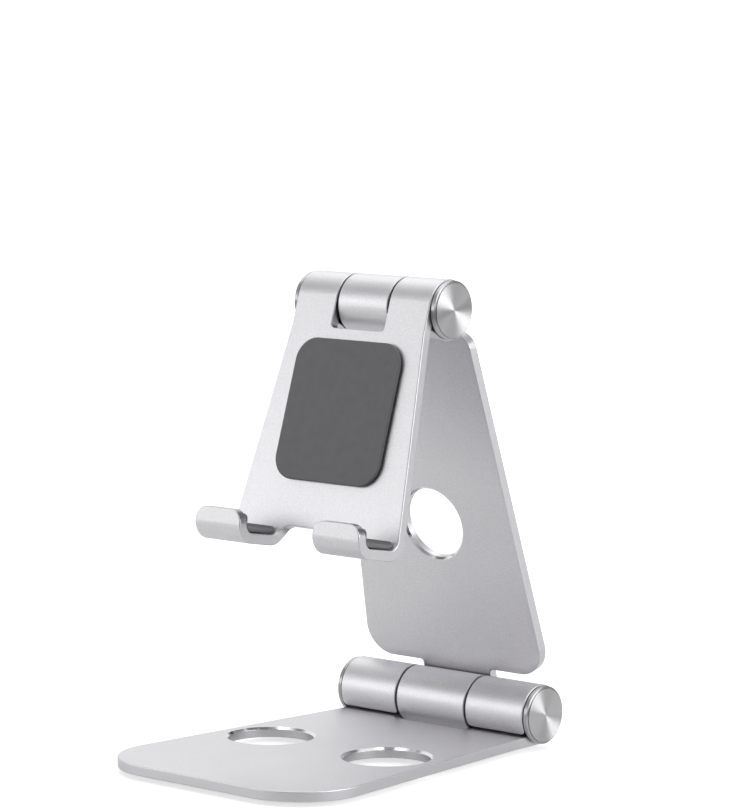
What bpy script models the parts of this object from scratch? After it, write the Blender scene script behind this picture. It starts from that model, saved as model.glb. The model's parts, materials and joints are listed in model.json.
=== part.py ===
"""Folding tablet stand: bent-sheet base, arm and holder panel joined by two friction hinges.

Metres, +Z up. Both hinge axes run along X, and the user stands on the -Y side and looks along +Y.
The origin is on the table, under the middle of the stand's bounding box.
"""
import math

import bmesh
import bpy
from mathutils import Matrix, Vector

# Sheet metal shared by the three bent plates
SHEET = 0.0026                # sheet thickness
BARREL_RADIUS = 0.0076        # outside radius of every rolled knuckle
ROLL_GAP = 0.0005             # between a knuckle's rolled end and its own sheet
KNUCKLE_GAP = 0.0006          # between neighbouring knuckles of one hinge
SEAT_GAP = 0.0003             # between pieces that rest on or in each other
SWEEP_GAP = 0.0004            # between a rolled knuckle and the notch it turns in
HOLE_CHAMFER = 0.00060        # bright 45 degree chamfer on the seen rim of every round hole
HOLE_BREAK = 0.0002           # the smaller chamfer on the hidden rim
NOTCH_FILLET = 0.0010         # inside corners of the notches beside the knuckles

# Base plate, measured from the lower hinge axis
BASE_DEPTH = 0.0945           # axis to front edge
BASE_FRONT_WIDTH = 0.0742
BASE_CORNER = 0.0170          # radius of the two front corners
BASE_HOLE_RADIUS = 0.01075
BASE_HOLE_SPACING = 0.0384    # between the centres of the two holes
BASE_HOLE_FORWARD = 0.0466    # axis to hole centres

# Silicone feet
FOOT_HEIGHT = 0.0012          # underside of the base above the table
FOOT_RADIUS = 0.0050
FOOT_FRONT_INSET = 0.0170     # front edge to front foot centres
FOOT_REAR_FORWARD = 0.0150    # axis to rear foot centres
FOOT_SIDE_INSET = 0.0150      # side edge to foot centres

# Hinges: total knuckle length and centre knuckle length
LOWER_LENGTH = 0.0601
LOWER_CENTRE = 0.0222
UPPER_LENGTH = 0.0430
UPPER_CENTRE = 0.0160

# Arm, measured along its length from the lower axis
ARM_LENGTH = 0.1066           # axis to axis
ARM_LOWER_WIDTH = 0.0588      # at the lower shoulders
ARM_LOWER_CORNER = 0.0075
ARM_UPPER_CORNER = 0.0050
SHOULDER_GAP = 0.0001         # barrel to the shoulder edge of the arm and the panel
ARM_HOLE_RADIUS = 0.0092
ARM_HOLE_HEIGHT = 0.0465      # lower axis to the cable hole's centre
ARM_LEAN = math.radians(14.43)    # forward from upright

# Holder panel and its two hooks, measured down from the upper axis
PANEL_LEAN = math.radians(17.5)   # back from upright
PANEL_RUN = 0.0592            # upper axis to the start of the shelf bend
PANEL_HOOK_WIDTH = 0.0537     # over both hooks
HOOK_WIDTH = 0.0151
HOOK_BEND = 0.0024            # inside radius of both hook bends
SHELF_BEND = math.radians(82)     # turn from the panel into the shelf
SHELF_RUN = 0.0072            # straight part of the shelf
LIP_BEND = math.radians(86)       # turn from the shelf into the lip
LIP_RUN = 0.0034              # straight part of the lip
LIP_CORNER = 0.0035           # radius of the lip's top corners
PRONG_NOTCH = 0.0008          # start of the shelf bend to the panel's edge between the hooks
PRONG_FILLET = 0.0037

# Silicone pads
PAD = 0.0012                  # thickness
PANEL_PAD_WIDTH = 0.0340
PANEL_PAD_HEIGHT = 0.0360
PANEL_PAD_TOP = 0.0110        # upper axis to the pad's top edge
PANEL_PAD_CORNER = 0.0060
HOOK_PAD_MARGIN = 0.0008      # hook side edge to pad side edge
HOOK_PAD_SETBACK = 0.0010     # lip top to pad top

# Hinge internals
SHAFT_RADIUS = 0.0025
CAP_THICKNESS = 0.0014
CAP_RIM_STEP = 0.0003         # the cap is smaller than the barrel by this much
CAP_SPIGOT = 0.0024           # length of the cap's plug inside the knuckle
CAP_CHAMFER = 0.0004
BUSH_LENGTH = 0.0040
SPRING_COUNT = 3
SPRING_THICKNESS = 0.0004
SPRING_CONE = 0.0003          # axial rise of a disc spring from its rim to its bore
NUT_THICKNESS = 0.0020
NUT_GAP = 0.0008              # the nut's corners to the bore
GASKET_THICKNESS = 0.0003     # thin washers between the knuckles

# Segments of the faceted curves
ARC_STEP = math.radians(9)    # longest arc between two outline points
TURN_STEPS = 32               # round a full turned piece

# Derived sizes
BORE_RADIUS = BARREL_RADIUS - SHEET
SHOULDER = BARREL_RADIUS + SHOULDER_GAP
NUT_RADIUS = BORE_RADIUS - NUT_GAP
ROLL_RADIUS = BARREL_RADIUS - SHEET / 2
ROLL_SWEEP = 2 * math.pi - math.acos((BORE_RADIUS - ROLL_GAP) / BARREL_RADIUS)
AXIS_Y = (BASE_DEPTH - BARREL_RADIUS) / 2
AXIS_Z = FOOT_HEIGHT + BARREL_RADIUS
CUTTER_REACH = 0.004          # how far a cutter passes the faces it cuts

# Finishes: colour, metallic, roughness
ALUMINIUM = ((0.66, 0.66, 0.67), 1.0, 0.38)
STEEL = ((0.45, 0.45, 0.46), 1.0, 0.30)
BRONZE = ((0.48, 0.33, 0.17), 1.0, 0.40)
NYLON = ((0.06, 0.06, 0.065), 0.0, 0.55)
SILICONE = ((0.12, 0.12, 0.13), 0.0, 0.70)

SIDES = (("left", -1), ("right", 1))
ALONG_X = (0, math.pi / 2, 0)


def clear_scene():
    for old in list(bpy.data.objects):
        bpy.data.objects.remove(old, do_unlink=True)


def make_collection(name):
    collection = bpy.data.collections.new(name)
    bpy.context.scene.collection.children.link(collection)
    return collection


def make_material(name, colour, metallic, roughness):
    material = bpy.data.materials.new(name)
    material.use_nodes = True
    shader = material.node_tree.nodes["Principled BSDF"]
    shader.inputs["Base Color"].default_value = (*colour, 1.0)
    shader.inputs["Metallic"].default_value = metallic
    shader.inputs["Roughness"].default_value = roughness
    return material


def make_frame(name, parent=None, location=(0, 0, 0), lean=0.0):
    """Empty that carries a body's pieces; lean tips it forward about its hinge axis."""
    frame = bpy.data.objects.new(name, None)
    frame.parent = parent
    frame.location = location
    frame.rotation_euler = (lean, 0, 0)
    PARTS.objects.link(frame)
    return frame


def place(piece, frame, location=(0, 0, 0), turn=(0, 0, 0)):
    piece.parent = frame
    piece.location = location
    piece.rotation_euler = turn
    return piece


def add_piece(name, mesh, finish):
    """Link a mesh as a named sub-part with its own material, smooth over its round faces."""
    mesh.name = name
    mesh.materials.append(make_material(name, *finish))
    mesh.shade_smooth()
    mesh.set_sharp_from_angle(angle=math.radians(30))
    piece = bpy.data.objects.new(name, mesh)
    PARTS.objects.link(piece)
    return piece


def add_cutter(name, mesh, frame, location=(0, 0, 0)):
    cutter = bpy.data.objects.new(name, mesh)
    CUTTERS.objects.link(cutter)
    cutter.hide_render = True
    cutter.display_type = "WIRE"
    return place(cutter, frame, location)


def add_boolean(piece, cutter, operation):
    modifier = piece.modifiers.new(cutter.name, "BOOLEAN")
    modifier.operation = operation
    modifier.object = cutter


def arc_points(centre, radius, start, end):
    """Points of an arc, both ends included, at most ARC_STEP apart."""
    steps = max(2, math.ceil(abs(end - start) / ARC_STEP - 1e-6))
    angles = [start + (end - start) * i / steps for i in range(steps + 1)]
    return [centre + radius * direction(angle) for angle in angles]


def rounded_outline(corners):
    """Closed outline through (x, y, radius) corners, each replaced by an arc of its radius."""
    points = []
    for i, (x, y, radius) in enumerate(corners):
        corner = Vector((x, y))
        if radius == 0:
            points.append(corner)
            continue
        back = (Vector(corners[i - 1][:2]) - corner).normalized()
        ahead = (Vector(corners[(i + 1) % len(corners)][:2]) - corner).normalized()
        half = back.angle(ahead) / 2
        centre = corner + (back + ahead).normalized() * radius / math.sin(half)
        first = corner + back * radius / math.tan(half) - centre
        last = corner + ahead * radius / math.tan(half) - centre
        start = math.atan2(first.y, first.x)
        points += arc_points(centre, radius, start, start - first.angle_signed(last))
    return points


def mirrored(corners):
    """Right-hand corners from bottom to top, followed by their mirror image from top to bottom."""
    return corners + [(-x, y, radius) for x, y, radius in reversed(corners)]


def direction(angle):
    return Vector((math.cos(angle), math.sin(angle)))


def follow(point, heading, moves):
    """Stations (point, heading) along a path of straight runs and bends.

    A move of one number is a straight run, and a move (radius, angle) is a bend, to the left where the
    angle is positive.
    """
    stations = [(point, heading)]
    for move in moves:
        if isinstance(move, tuple):
            radius, angle = move
            quarter = math.copysign(math.pi / 2, angle)
            centre = point + radius * direction(heading + quarter)
            arc = arc_points(centre, radius, heading - quarter, heading - quarter + angle)
            steps = len(arc) - 1
            stations += [(arc[i], heading + angle * i / steps) for i in range(1, steps + 1)]
        else:
            stations.append((point + move * direction(heading), heading))
        point, heading = stations[-1]
    return stations


def sheet_outline(thickness, stations):
    """Closed side view of a bent sheet whose middle surface follows the stations."""
    left = [at + thickness / 2 * direction(along + math.pi / 2) for at, along in stations]
    right = [at - thickness / 2 * direction(along + math.pi / 2) for at, along in stations]
    return left + right[::-1]


def extruded(points, width, axes):
    """Closed mesh of a flat outline extruded by width, centred on the outline's plane.

    axes gives, for the outline's first and second direction, the object's axis: "YZ" extrudes along X,
    "XY" along Z and "XZ" along Y.
    """
    curve = bpy.data.curves.new("outline", "CURVE")
    curve.dimensions = "2D"
    curve.fill_mode = "BOTH"
    curve.extrude = width / 2
    spline = curve.splines.new("POLY")
    spline.points.add(len(points) - 1)
    for target, (x, y) in zip(spline.points, points):
        target.co = (x, y, 0, 1)
    spline.use_cyclic_u = True
    carrier = bpy.data.objects.new("outline", curve)
    PARTS.objects.link(carrier)
    graph = bpy.context.evaluated_depsgraph_get()
    mesh = bpy.data.meshes.new_from_object(carrier.evaluated_get(graph))
    bpy.data.objects.remove(carrier)
    turns = {
        "XY": Matrix.Identity(4),
        "YZ": Matrix(((0, 0, 1, 0), (1, 0, 0, 0), (0, 1, 0, 0), (0, 0, 0, 1))),
        "XZ": Matrix.Rotation(math.pi / 2, 4, "X"),
    }
    mesh.transform(turns[axes])
    form = bmesh.new()
    form.from_mesh(mesh)
    bmesh.ops.remove_doubles(form, verts=form.verts, dist=1e-6)
    bmesh.ops.recalc_face_normals(form, faces=form.faces)
    form.to_mesh(mesh)
    form.free()
    return mesh


def turned(profile):
    """Object turned about Z from (radius, height) points, down its outer side first.

    A profile that leaves and meets the axis is open, and any other is closed into a ring.
    """
    mesh = bpy.data.meshes.new("profile")
    form = bmesh.new()
    points = [form.verts.new((radius, 0, height)) for radius, height in profile]
    for first, second in zip(points, points[1:]):
        form.edges.new((first, second))
    if profile[0][0] > 0:
        form.edges.new((points[-1], points[0]))
    form.to_mesh(mesh)
    form.free()
    carrier = bpy.data.objects.new("profile", mesh)
    PARTS.objects.link(carrier)
    screw = carrier.modifiers.new("turn", "SCREW")
    screw.axis = "Z"
    screw.steps = TURN_STEPS
    screw.render_steps = TURN_STEPS
    screw.use_merge_vertices = True
    screw.merge_threshold = 1e-6
    graph = bpy.context.evaluated_depsgraph_get()
    result = bpy.data.meshes.new_from_object(carrier.evaluated_get(graph))
    bpy.data.objects.remove(carrier)
    bpy.data.meshes.remove(mesh)
    return result


def ring(inner, outer, length):
    half = length / 2
    return turned([(outer, half), (outer, -half), (inner, -half), (inner, half)])


def hole_cutter(name, frame, radius, location, turn=(0, 0, 0)):
    """Cutter for a round hole through a sheet, with its larger chamfer on the +Z side."""
    face = SHEET / 2
    end = face + CUTTER_REACH
    profile = [
        (0, end),
        (radius + HOLE_CHAMFER + CUTTER_REACH, end),
        (radius, face - HOLE_CHAMFER),
        (radius, HOLE_BREAK - face),
        (radius + HOLE_BREAK + CUTTER_REACH, -end),
        (0, -end),
    ]
    cutter = add_cutter(name, turned(profile), frame, location)
    cutter.rotation_euler = turn
    return cutter


def make_base(frame):
    """Base plate with the lower hinge's two outer knuckles, origin on the lower axis."""
    overshoot = CUTTER_REACH
    front = Vector((-BASE_DEPTH - overshoot, -ROLL_RADIUS))
    moves = [BASE_DEPTH + overshoot, (ROLL_RADIUS, ROLL_SWEEP)]
    outline = sheet_outline(SHEET, follow(front, 0.0, moves))
    plate = add_piece("base_plate", extruded(outline, BASE_FRONT_WIDTH + overshoot, "YZ"), ALUMINIUM)
    place(plate, frame)
    behind = BARREL_RADIUS + CUTTER_REACH
    notch = -BARREL_RADIUS - SWEEP_GAP
    notch_half = LOWER_CENTRE / 2 + KNUCKLE_GAP
    plan = mirrored([
        (BASE_FRONT_WIDTH / 2, -BASE_DEPTH, BASE_CORNER),
        (LOWER_LENGTH / 2, notch, 0),
        (LOWER_LENGTH / 2, behind, 0),
        (notch_half, behind, 0),
        (notch_half, notch, NOTCH_FILLET),
    ])
    height = 2 * (BARREL_RADIUS + CUTTER_REACH)
    mesh = extruded(rounded_outline(plan), height, "XY")
    add_boolean(plate, add_cutter("base_plan", mesh, frame), "INTERSECT")
    for side, sign in SIDES:
        centre = (sign * BASE_HOLE_SPACING / 2, -BASE_HOLE_FORWARD, -ROLL_RADIUS)
        cutter = hole_cutter("base_hole_" + side, frame, BASE_HOLE_RADIUS, centre)
        add_boolean(plate, cutter, "DIFFERENCE")


def base_half_width(forward):
    """Half width of the base at a distance in front of the lower axis."""
    rear = BARREL_RADIUS + SWEEP_GAP
    share = (forward - rear) / (BASE_DEPTH - rear)
    return LOWER_LENGTH / 2 + share * (BASE_FRONT_WIDTH - LOWER_LENGTH) / 2


def make_feet(frame):
    thickness = FOOT_HEIGHT - SEAT_GAP
    bevel = thickness / 3
    profile = [
        (0, thickness),
        (FOOT_RADIUS, thickness),
        (FOOT_RADIUS, bevel),
        (FOOT_RADIUS - bevel, 0),
        (0, 0),
    ]
    rows = [("front", BASE_DEPTH - FOOT_FRONT_INSET), ("rear", FOOT_REAR_FORWARD)]
    for row, forward in rows:
        for side, sign in SIDES:
            foot = add_piece("foot_" + row + "_" + side, turned(profile), SILICONE)
            x = sign * (base_half_width(forward) - FOOT_SIDE_INSET)
            place(foot, frame, (x, -forward, -BARREL_RADIUS - FOOT_HEIGHT))


def make_arm(frame):
    """Arm plate with the centre knuckle of each hinge, origin on the lower axis."""
    start = ROLL_RADIUS * direction(-ROLL_SWEEP)
    roll = (ROLL_RADIUS, ROLL_SWEEP)
    stations = follow(start, math.pi / 2 - ROLL_SWEEP, [roll, ARM_LENGTH, roll])
    outline = sheet_outline(SHEET, stations)
    plate = add_piece("arm_plate", extruded(outline, ARM_LOWER_WIDTH + CUTTER_REACH, "YZ"), ALUMINIUM)
    place(plate, frame)
    reach = BARREL_RADIUS + CUTTER_REACH
    plan = mirrored([
        (LOWER_CENTRE / 2, -reach, 0),
        (LOWER_CENTRE / 2, SHOULDER, NOTCH_FILLET),
        (ARM_LOWER_WIDTH / 2, SHOULDER, ARM_LOWER_CORNER),
        (UPPER_LENGTH / 2, ARM_LENGTH - SHOULDER, ARM_UPPER_CORNER),
        (UPPER_CENTRE / 2, ARM_LENGTH - SHOULDER, NOTCH_FILLET),
        (UPPER_CENTRE / 2, ARM_LENGTH + reach, 0),
    ])
    mesh = extruded(rounded_outline(plan), 2 * reach, "XZ")
    add_boolean(plate, add_cutter("arm_plan", mesh, frame), "INTERSECT")
    centre = (0, ROLL_RADIUS, ARM_HOLE_HEIGHT)
    cutter = hole_cutter("arm_hole", frame, ARM_HOLE_RADIUS, centre, (math.pi / 2, 0, 0))
    add_boolean(plate, cutter, "DIFFERENCE")


def hook_moves(offset, lip):
    """Moves round the hook at an offset from the sheet's middle surface, towards the tablet."""
    radius = HOOK_BEND + SHEET / 2 - offset
    return [(radius, -SHELF_BEND), SHELF_RUN, (radius, -LIP_BEND), lip]


def make_panel(frame):
    """Holder panel with the upper hinge's outer knuckles and both hooks, origin on the upper axis."""
    roll_end = math.pi - ROLL_SWEEP
    moves = [(ROLL_RADIUS, ROLL_SWEEP), PANEL_RUN, *hook_moves(0, LIP_RUN)]
    stations = follow(ROLL_RADIUS * direction(roll_end), roll_end + math.pi / 2, moves)
    lip_y, lip_top = stations[-1][0]
    lowest = min(point.y for point, heading in stations) - SHEET / 2
    outline = sheet_outline(SHEET, stations)
    plate = add_piece("panel_plate", extruded(outline, PANEL_HOOK_WIDTH + CUTTER_REACH, "YZ"), ALUMINIUM)
    place(plate, frame)
    above = BARREL_RADIUS + CUTTER_REACH
    below = lowest - CUTTER_REACH
    hook_outer = PANEL_HOOK_WIDTH / 2
    hook_inner = hook_outer - HOOK_WIDTH
    notch_top = PRONG_NOTCH - PANEL_RUN
    notch_half = UPPER_CENTRE / 2 + KNUCKLE_GAP
    front_view = mirrored([
        (hook_inner, notch_top, PRONG_FILLET),
        (hook_inner, below, 0),
        (hook_outer, below, 0),
        (hook_outer, lip_top, 0),
        (UPPER_LENGTH / 2, -SHOULDER, 0),
        (UPPER_LENGTH / 2, above, 0),
        (notch_half, above, 0),
        (notch_half, -BARREL_RADIUS - SWEEP_GAP, NOTCH_FILLET),
    ])
    depth = 2 * (SHEET + CUTTER_REACH - lip_y)
    plan = add_cutter("panel_plan", extruded(rounded_outline(front_view), depth, "XZ"), frame)
    add_boolean(plate, plan, "INTERSECT")
    bend_end = -ROLL_RADIUS - HOOK_BEND - SHEET / 2
    front = lip_y - SHEET - CUTTER_REACH
    top = lip_top + CUTTER_REACH
    side_view = [(front, below), (bend_end, below), (bend_end, top), (front, top)]
    gap = add_cutter("hook_gap", extruded(side_view, 2 * hook_inner, "YZ"), frame)
    add_boolean(plate, gap, "DIFFERENCE")
    for side, sign in SIDES:
        for edge, x, outward in (("outer", hook_outer, sign), ("inner", hook_inner, -sign)):
            mesh = extruded(corner_outline(LIP_CORNER, outward), SHEET + 2 * HOOK_BEND, "XZ")
            name = "lip_corner_" + side + "_" + edge
            cutter = add_cutter(name, mesh, frame, (sign * x, lip_y, lip_top))
            add_boolean(plate, cutter, "DIFFERENCE")


def corner_outline(radius, side):
    """What is cut away to round an upper corner at the origin; side is +1 for a right-hand corner."""
    centre = Vector((-side * radius, -radius))
    start = math.pi / 2
    arc = arc_points(centre, radius, start, start - side * math.pi / 2)
    reach = CUTTER_REACH / 2
    outside = [(side * reach, -radius), (side * reach, reach), (-side * radius, reach)]
    return arc + outside


def make_pads(frame):
    """Silicone pad on the panel's face and a J-shaped pad in each hook."""
    half = PANEL_PAD_WIDTH / 2
    outline = rounded_outline(mirrored([
        (half, -PANEL_PAD_TOP - PANEL_PAD_HEIGHT, PANEL_PAD_CORNER),
        (half, -PANEL_PAD_TOP, PANEL_PAD_CORNER),
    ]))
    pad = add_piece("panel_pad", extruded(outline, PAD - SEAT_GAP, "XZ"), SILICONE)
    place(pad, frame, (0, -BARREL_RADIUS - SEAT_GAP - (PAD - SEAT_GAP) / 2, 0))

    offset = SHEET / 2 + SEAT_GAP + (PAD - SEAT_GAP) / 2
    start = Vector((-ROLL_RADIUS - offset, -PANEL_RUN))
    stations = follow(start, -math.pi / 2, hook_moves(offset, LIP_RUN - HOOK_PAD_SETBACK))
    profile = sheet_outline(PAD - SEAT_GAP, stations)
    width = HOOK_WIDTH - 2 * HOOK_PAD_MARGIN
    for side, sign in SIDES:
        pad = add_piece("hook_pad_" + side, extruded(profile, width, "YZ"), SILICONE)
        place(pad, frame, (sign * (PANEL_HOOK_WIDTH - HOOK_WIDTH) / 2, 0, 0))


def cap_profile():
    """End cap: a disc with a chamfered rim outside the knuckle and a plug inside it."""
    disc = BARREL_RADIUS - CAP_RIM_STEP
    plug = BORE_RADIUS - SEAT_GAP
    inner = -CAP_THICKNESS
    return [
        (0, 0),
        (disc - CAP_CHAMFER, 0),
        (disc, -CAP_CHAMFER),
        (disc, inner),
        (plug, inner),
        (plug, inner - SEAT_GAP - CAP_SPIGOT),
        (0, inner - SEAT_GAP - CAP_SPIGOT),
    ]


def spring_profile():
    """Disc spring: a thin washer whose bore sits higher than its rim."""
    inner = SHAFT_RADIUS + SEAT_GAP
    outer = BORE_RADIUS - SEAT_GAP
    half = SPRING_THICKNESS / 2
    rise = SPRING_CONE / 2
    return [(outer, half - rise), (outer, -half - rise), (inner, rise - half), (inner, rise + half)]


def make_nut(name, frame, x):
    mesh = bpy.data.meshes.new(name)
    form = bmesh.new()
    bmesh.ops.create_cone(
        form, cap_ends=True, segments=6, radius1=NUT_RADIUS, radius2=NUT_RADIUS, depth=NUT_THICKNESS)
    form.to_mesh(mesh)
    form.free()
    nut = place(add_piece(name, mesh, STEEL), frame, (x, 0, 0), ALONG_X)
    bore = turned([
        (0, NUT_THICKNESS),
        (SHAFT_RADIUS + SEAT_GAP, NUT_THICKNESS),
        (SHAFT_RADIUS + SEAT_GAP, -NUT_THICKNESS),
        (0, -NUT_THICKNESS),
    ])
    cutter = add_cutter(name + "_bore", bore, frame, (x, 0, 0))
    cutter.rotation_euler = ALONG_X
    add_boolean(nut, cutter, "DIFFERENCE")


def make_hinge(prefix, outer_frame, centre_frame, length, centre_length):
    """Friction hinge: shaft, bushes, springs and nut in the outer knuckles, sleeve in the centre one."""
    outer = BORE_RADIUS - SEAT_GAP
    inner = SHAFT_RADIUS + SEAT_GAP
    knuckle = centre_length / 2 + KNUCKLE_GAP
    shaft_half = length / 2 - CAP_SPIGOT - SEAT_GAP

    def add(name, mesh, finish, x, frame=outer_frame, turn=ALONG_X):
        return place(add_piece(prefix + "_" + name, mesh, finish), frame, (x, 0, 0), turn)

    rod = [(0, shaft_half), (SHAFT_RADIUS, shaft_half), (SHAFT_RADIUS, -shaft_half), (0, -shaft_half)]
    add("shaft", turned(rod), STEEL, 0)
    sleeve_length = centre_length - 2 * SEAT_GAP
    add("friction_sleeve", ring(inner, outer, sleeve_length), BRONZE, 0, centre_frame)
    for side, sign in SIDES:
        face = length / 2 + SEAT_GAP + CAP_THICKNESS
        add("cap_" + side, turned(cap_profile()), ALUMINIUM, sign * face, turn=(0, sign * math.pi / 2, 0))
        bush = knuckle + SEAT_GAP + BUSH_LENGTH / 2
        add("bush_" + side, ring(inner, outer, BUSH_LENGTH), BRONZE, sign * bush)
        gasket = centre_length / 2 + KNUCKLE_GAP / 2
        gasket_outer = BARREL_RADIUS - CAP_RIM_STEP
        add("gasket_" + side, ring(inner, gasket_outer, GASKET_THICKNESS), NYLON, sign * gasket)
    x = knuckle + BUSH_LENGTH + 2 * SEAT_GAP
    for number in range(1, SPRING_COUNT + 1):
        x += (SPRING_THICKNESS + SPRING_CONE) / 2
        add("disc_spring_" + str(number), turned(spring_profile()), STEEL, x)
        x += (SPRING_THICKNESS + SPRING_CONE) / 2 + SEAT_GAP
    make_nut(prefix + "_lock_nut", outer_frame, x + NUT_THICKNESS / 2)


clear_scene()
PARTS = make_collection("tablet_stand")
CUTTERS = make_collection("cutters")

base_frame = make_frame("base_frame", location=(0, AXIS_Y, AXIS_Z))
arm_frame = make_frame("arm_frame", base_frame, lean=ARM_LEAN)
arm_tip = make_frame("arm_tip", arm_frame, (0, 0, ARM_LENGTH))
panel_frame = make_frame("panel_frame", arm_tip, lean=-ARM_LEAN - PANEL_LEAN)

make_base(base_frame)
make_feet(base_frame)
make_hinge("lower", base_frame, arm_frame, LOWER_LENGTH, LOWER_CENTRE)
make_arm(arm_frame)
make_hinge("upper", panel_frame, arm_tip, UPPER_LENGTH, UPPER_CENTRE)
make_panel(panel_frame)
make_pads(panel_frame)
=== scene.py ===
# %% [markdown]
# # A folding tablet stand, bent from aluminium sheet
#
# The stand is three plates of one sheet metal. A base lies on four silicone feet, an arm rises from its
# rear edge, and a holder panel hangs from the top of the arm and ends in two hooks. Each plate is cut
# flat and then rolled round at its ends into knuckles, like those of a door hinge, and the knuckles turn
# on friction shafts. The engineering model already holds every size and every joint, so it is loaded
# first, and each finer piece made here rides on one of its bodies.

# %% Load the fixed frame
import json
import math

import bpy
import numpy as np
from mathutils import Matrix, Vector, geometry

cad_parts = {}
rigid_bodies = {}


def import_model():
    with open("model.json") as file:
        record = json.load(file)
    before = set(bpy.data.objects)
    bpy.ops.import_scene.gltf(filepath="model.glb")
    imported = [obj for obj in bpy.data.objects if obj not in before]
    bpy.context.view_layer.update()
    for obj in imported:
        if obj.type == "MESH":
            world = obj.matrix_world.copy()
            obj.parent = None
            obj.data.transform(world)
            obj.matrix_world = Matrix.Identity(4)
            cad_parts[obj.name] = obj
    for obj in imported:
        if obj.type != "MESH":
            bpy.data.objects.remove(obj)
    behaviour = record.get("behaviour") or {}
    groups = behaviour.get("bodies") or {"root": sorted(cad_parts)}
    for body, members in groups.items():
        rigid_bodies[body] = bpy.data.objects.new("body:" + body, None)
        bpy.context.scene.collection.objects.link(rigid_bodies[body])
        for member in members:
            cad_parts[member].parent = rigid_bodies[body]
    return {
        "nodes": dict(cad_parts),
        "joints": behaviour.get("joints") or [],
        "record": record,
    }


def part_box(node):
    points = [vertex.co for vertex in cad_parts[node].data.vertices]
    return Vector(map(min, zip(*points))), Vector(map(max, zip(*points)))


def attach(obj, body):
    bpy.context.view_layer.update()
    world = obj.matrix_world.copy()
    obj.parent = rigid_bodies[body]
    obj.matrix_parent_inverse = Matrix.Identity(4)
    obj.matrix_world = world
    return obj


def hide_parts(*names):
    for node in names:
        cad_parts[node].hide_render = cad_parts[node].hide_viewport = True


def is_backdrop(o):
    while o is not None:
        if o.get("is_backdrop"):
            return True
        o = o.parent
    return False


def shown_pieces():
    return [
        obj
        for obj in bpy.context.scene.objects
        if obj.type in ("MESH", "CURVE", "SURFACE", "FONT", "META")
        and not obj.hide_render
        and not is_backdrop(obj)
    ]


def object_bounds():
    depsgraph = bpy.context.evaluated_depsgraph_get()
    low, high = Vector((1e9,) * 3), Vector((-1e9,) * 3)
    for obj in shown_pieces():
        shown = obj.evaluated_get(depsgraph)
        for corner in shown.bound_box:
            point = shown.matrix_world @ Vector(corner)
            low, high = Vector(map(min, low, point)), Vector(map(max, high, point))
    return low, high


for old in list(bpy.data.objects):
    bpy.data.objects.remove(old, do_unlink=True)
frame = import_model()
cad_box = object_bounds()
print("nodes:", len(frame["nodes"]))

# %% [markdown]
# ## Where the hinges are
#
# Both hinge axes run along X. Everything on a plate is easiest to say beside its own hinge, with the
# plate standing upright, so each plate gets a seat: the axis that it hangs on and the angle by which it
# leans. Both are read from the frame.

# %% The hinge axes and how the arm and the panel lean
pivots = {joint["name"]: np.array(joint["pos_m"]) for joint in frame["joints"]}
lower_axis = pivots["base_hinge"]
upper_axis = pivots["holder_hinge"]
rise = upper_axis - lower_axis
arm_length = float(np.linalg.norm(rise))
arm_lean = math.atan2(-rise[1], rise[2])
mounts = {mount["name"]: mount for mount in frame["record"]["mounts"]}
panel_lean = -math.asin(mounts["tablet_back_rest"]["axis"][2])
seats = {"base": (lower_axis, 0.0), "arm": (lower_axis, arm_lean), "panel": (upper_axis, panel_lean)}
print(f"arm {arm_length * 1000:.1f} mm, leaning {math.degrees(arm_lean):.1f} degrees")
print(f"panel leaning {math.degrees(panel_lean):.1f} degrees")


# %% [markdown]
# Each plate is easiest to draw as if it lay flat, with its hinge line at the origin. A small helper then
# leans the finished shape and moves it to its axis. The place goes into the mesh itself, so that every
# object stays at the origin, unturned, and a pattern on Object coordinates sits still on the metal.

# %% A helper that stands local shapes on their seat
def stand_up(points, seat, place=True):
    """Turns local (x, y, z) rows about X by the seat's lean, and moves them to its axis.

    y' = y cos(lean) - z sin(lean) and z' = y sin(lean) + z cos(lean). Directions are only turned.
    """
    axis, lean = seats[seat]
    x, y, z = np.moveaxis(points, -1, 0)
    turned_y = y * math.cos(lean) - z * math.sin(lean)
    turned_z = y * math.sin(lean) + z * math.cos(lean)
    turned = np.stack([x, turned_y, turned_z], axis=-1)
    return turned + axis if place else turned


print("seats:", ", ".join(seats))

# %% [markdown]
# ## The sheet and its sizes
#
# All three plates come from one sheet, 2.6 mm thick, rolled to the same 15.2 mm barrel. A press tool
# leaves the edges slightly round, and that small round edge is what catches the light as a bright line
# round each plate, so it gets a size of its own.

# %% Sizes shared by the plates
MM = 0.001
SHEET = 2.6 * MM
BARREL_RADIUS = 7.6 * MM
ROLL_RADIUS = BARREL_RADIUS - SHEET / 2        # to the middle of the sheet
BORE_RADIUS = BARREL_RADIUS - SHEET
ROLL_GAP = 0.5 * MM
ROLL_SWEEP = 2 * math.pi - math.acos((BORE_RADIUS - ROLL_GAP) / BARREL_RADIUS)
KNUCKLE_GAP = 0.6 * MM
SWEEP_GAP = 0.4 * MM
EDGE_ROUND = 0.28 * MM
ROLL_CORNER = 1.3 * MM                         # corners of a knuckle's rolled end
NOTCH_FILLET = 1.0 * MM
LOWER_LENGTH, LOWER_CENTRE = 60.1 * MM, 22.2 * MM
UPPER_LENGTH, UPPER_CENTRE = 43.0 * MM, 16.0 * MM
notch_depth = BARREL_RADIUS + SWEEP_GAP
roll_length = ROLL_RADIUS * ROLL_SWEEP
print(f"a knuckle takes {roll_length / MM:.1f} mm of sheet, turned {math.degrees(ROLL_SWEEP):.0f} degrees")


# %% [markdown]
# ## Cut flat
#
# A sheet-metal shop starts with the flat blank, and so does this model. A blank is a closed outline in
# two measures: x across the sheet, and s along it, from one rolled end to the other. Only its corners
# are written down, each with the radius of its rounding. The outline could also be drawn as a curve
# object, but plain arrays keep the outward direction at each point, which the rounded edge needs.

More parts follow.
